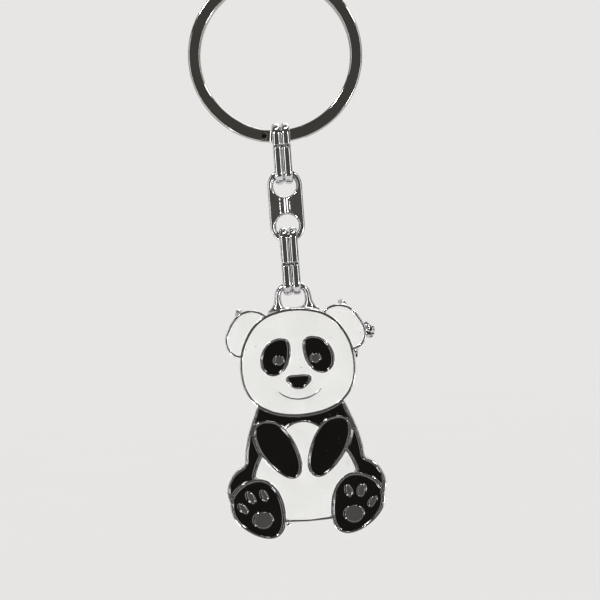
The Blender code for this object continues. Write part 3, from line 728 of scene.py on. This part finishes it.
def build_casting(charm, place):
    """Plated casting: rounded rims over pockets, an integral loop and rough flash."""
    plates = [offset(charm.head, HEAD_RIM), charm.body]
    plates += [offset(charm.ear[s], EDGE_RIM) for s in SIDES]
    plates += [offset(charm.foot[s], EDGE_RIM) for s in SIDES]
    pockets = list(charm.regions.values())
    lines = casting_lines(charm, plates, pockets)

    def keep(p):
        plate = np.min([signed_distance(p, line) for line in plates + NUBS], axis=0)
        loop = np.maximum(signed_distance(p, charm.loop), -signed_distance(p, charm.hole))
        return np.minimum(plate, loop)

    def heights(p):
        plate = -np.min([signed_distance(p, line) for line in plates], axis=0)
        loop = -np.maximum(signed_distance(p, charm.loop), -signed_distance(p, charm.hole))
        nub = -np.min([signed_distance(p, line) for line in NUBS], axis=0)
        pocket = np.min([region_distance(p, region) for region in pockets], axis=0)
        top = RIM_Y + rounding(plate, OUTER_ROUND)
        top = np.where(pocket < RIM_ROUND, np.maximum(top, RIM_Y + rounding(pocket, RIM_ROUND)), top)
        top = np.where(pocket < -1e-4, FLOOR_Y, top)
        top = np.where(plate > -1e-4, top, 1e3)
        base = np.where(plate > -1e-4, BACK_Y - rounding(plate, BACK_ROUND), -1e3)
        half = LOOP_THICK / 2 - rounding(loop, LOOP_ROUND)
        half = np.where(loop > -1e-4, half, -1e3)
        rough = NUB_ROUGHNESS * (np.sin(p[:, 0] * 9.1 + p[:, 1] * 5.3) + np.sin(p[:, 1] * 11.7))
        lump = NUB_THICK / 2 - rounding(nub, NUB_ROUND) + rough
        lump = np.where(nub > -1e-4, lump, -1e3)
        front = np.minimum(top, np.minimum(-half, -lump))
        return front, np.maximum(base, np.maximum(half, lump))

    casting = relief("charm_casting_plated", lines, keep, heights, CASTING_MESH_STEP, place)
    return dress(casting, "charm", ["charm_casting"], "casting_chrome", CAST_CHROME)


ENAMEL_LOOK = {
    # name: (material, slot, drop at the wall, (fall, reach) of the creep and of the bowl)
    "white": (WHITE, "white_enamel", 0.03, (0.09, 0.16), (0.08, 0.80)),
    "black": (BLACK, "black_enamel", 0.03, (0.19, 0.30), (0.08, 1.00)),
}
WHITE_REGIONS = {"face", "belly", "ear_left", "ear_right"}


def build_enamel(name, region, place):
    """One pool of enamel that creeps up its walls."""
    material, slot, edge, creep, bowl = ENAMEL_LOOK["white" if name in WHITE_REGIONS else "black"]
    within, without = region
    lines = []
    for d in (-ENAMEL_LAP, 0.05, 0.14, 0.26, 0.42):
        lines += [offset(line, -d) for line in within]
        lines += [offset(line, d) for line in without]
    grown = ([offset(line, ENAMEL_LAP) for line in within],
             [offset(line, -ENAMEL_LAP) for line in without])

    def keep(p):
        return region_distance(p, grown)

    def heights(p):
        inside = np.clip(-keep(p), 0, None)
        front = RIM_Y + edge
        for fall, reach in (creep, bowl):
            front = front + fall * (1 - np.exp(-inside / reach))
        return front, np.full(len(p), FLOOR_Y - 0.02)

    pool = relief("enamel_%s_pool" % name, lines, keep, heights, ENAMEL_MESH_STEP, place)
    return dress(pool, "charm", ["enamel_" + name], slot, material)


def build_charm():
    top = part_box("charm_casting")[1][2] / MM

    def place(p):
        return (p[0], p[1], p[2] + top - LOOP_TOP)

    charm = Charm()
    build_casting(charm, place)
    for name, region in charm.regions.items():
        build_enamel(name, region, place)


# ---- stage ----------------------------------------------------------------------------------
def build_floor():
    """Plain pale floor well below the keyring."""
    near, far, side = FLOOR_SPAN
    corners = [(-side, near), (side, near), (side, far), (-side, far)]
    floor = new_mesh("pale_floor", [(x, y, FLOOR_Z) for x, y in corners], [(0, 1, 2, 3)])
    floor.data.materials.append(floor_material())


def aim(thing, place, target, roll_deg=0.0):
    direction = Vector(target) - Vector(place)
    turn = direction.to_track_quat("-Z", "Y").to_matrix().to_4x4()
    thing.matrix_world = (Matrix.Translation(place) @ turn
                          @ Matrix.Rotation(math.radians(roll_deg), 4, "Z"))


def add_light(name, place, size, power, colour):
    lamp = bpy.data.lights.new(name, "AREA")
    lamp.shape = "RECTANGLE"
    lamp.size, lamp.size_y = size
    lamp.energy = power
    lamp.color = colour
    thing = bpy.data.objects.new(name, lamp)
    bpy.context.scene.collection.objects.link(thing)
    aim(thing, place, LIGHT_TARGET)


def build_world():
    """A plain studio: dim on the side of the camera, pale behind the keyring, and pale to look at."""
    world = bpy.data.worlds.new("studio")
    bpy.context.scene.world = world
    world.use_nodes = True
    tree = world.node_tree
    tree.nodes.clear()
    join = tree.links.new
    coordinates = tree.nodes.new("ShaderNodeTexCoord")
    split = tree.nodes.new("ShaderNodeSeparateXYZ")
    shift = tree.nodes.new("ShaderNodeMapRange")
    shift.inputs["From Min"].default_value = -1.0
    ramp = tree.nodes.new("ShaderNodeValToRGB")
    for element, (place, colour) in zip(ramp.color_ramp.elements, STUDIO_FADE):
        element.position = place
        element.color = colour
    around = tree.nodes.new("ShaderNodeBackground")
    join(coordinates.outputs["Generated"], split.inputs["Vector"])
    join(split.outputs["Y"], shift.inputs["Value"])
    join(shift.outputs["Result"], ramp.inputs["Fac"])
    join(ramp.outputs["Color"], around.inputs["Color"])
    plain = tree.nodes.new("ShaderNodeBackground")
    plain.inputs["Color"].default_value = STUDIO_PALE
    seen = tree.nodes.new("ShaderNodeLightPath")
    either = tree.nodes.new("ShaderNodeMixShader")
    output = tree.nodes.new("ShaderNodeOutputWorld")
    join(seen.outputs["Is Camera Ray"], either.inputs["Fac"])
    join(around.outputs["Background"], either.inputs[1])
    join(plain.outputs["Background"], either.inputs[2])
    join(either.outputs["Shader"], output.inputs["Surface"])


def build_lights():
    for name, place, size, power, colour in LIGHTS:
        add_light(name, place, size, power, colour)


def build_camera():
    """Nearly face on, with the keyring leaning a little to the left as it hangs."""
    camera = bpy.data.cameras.new("camera")
    camera.lens = CAMERA_LENS
    camera.clip_start = 0.01
    thing = bpy.data.objects.new("camera", camera)
    bpy.context.scene.collection.objects.link(thing)
    bpy.context.scene.camera = thing
    aim(thing, CAMERA_PLACE, CAMERA_TARGET, CAMERA_ROLL_DEG)


build_ring()
build_strip_link("upper_strip_link", "upper_link", UPPER_SEAM_DROP)
build_figure_eight()
build_strip_link("lower_strip_link", "lower_link", LOWER_SEAM_DROP)
build_charm()
build_floor()
build_world()
build_lights()
build_camera()

bpy.context.scene.view_settings.view_transform = "Standard"
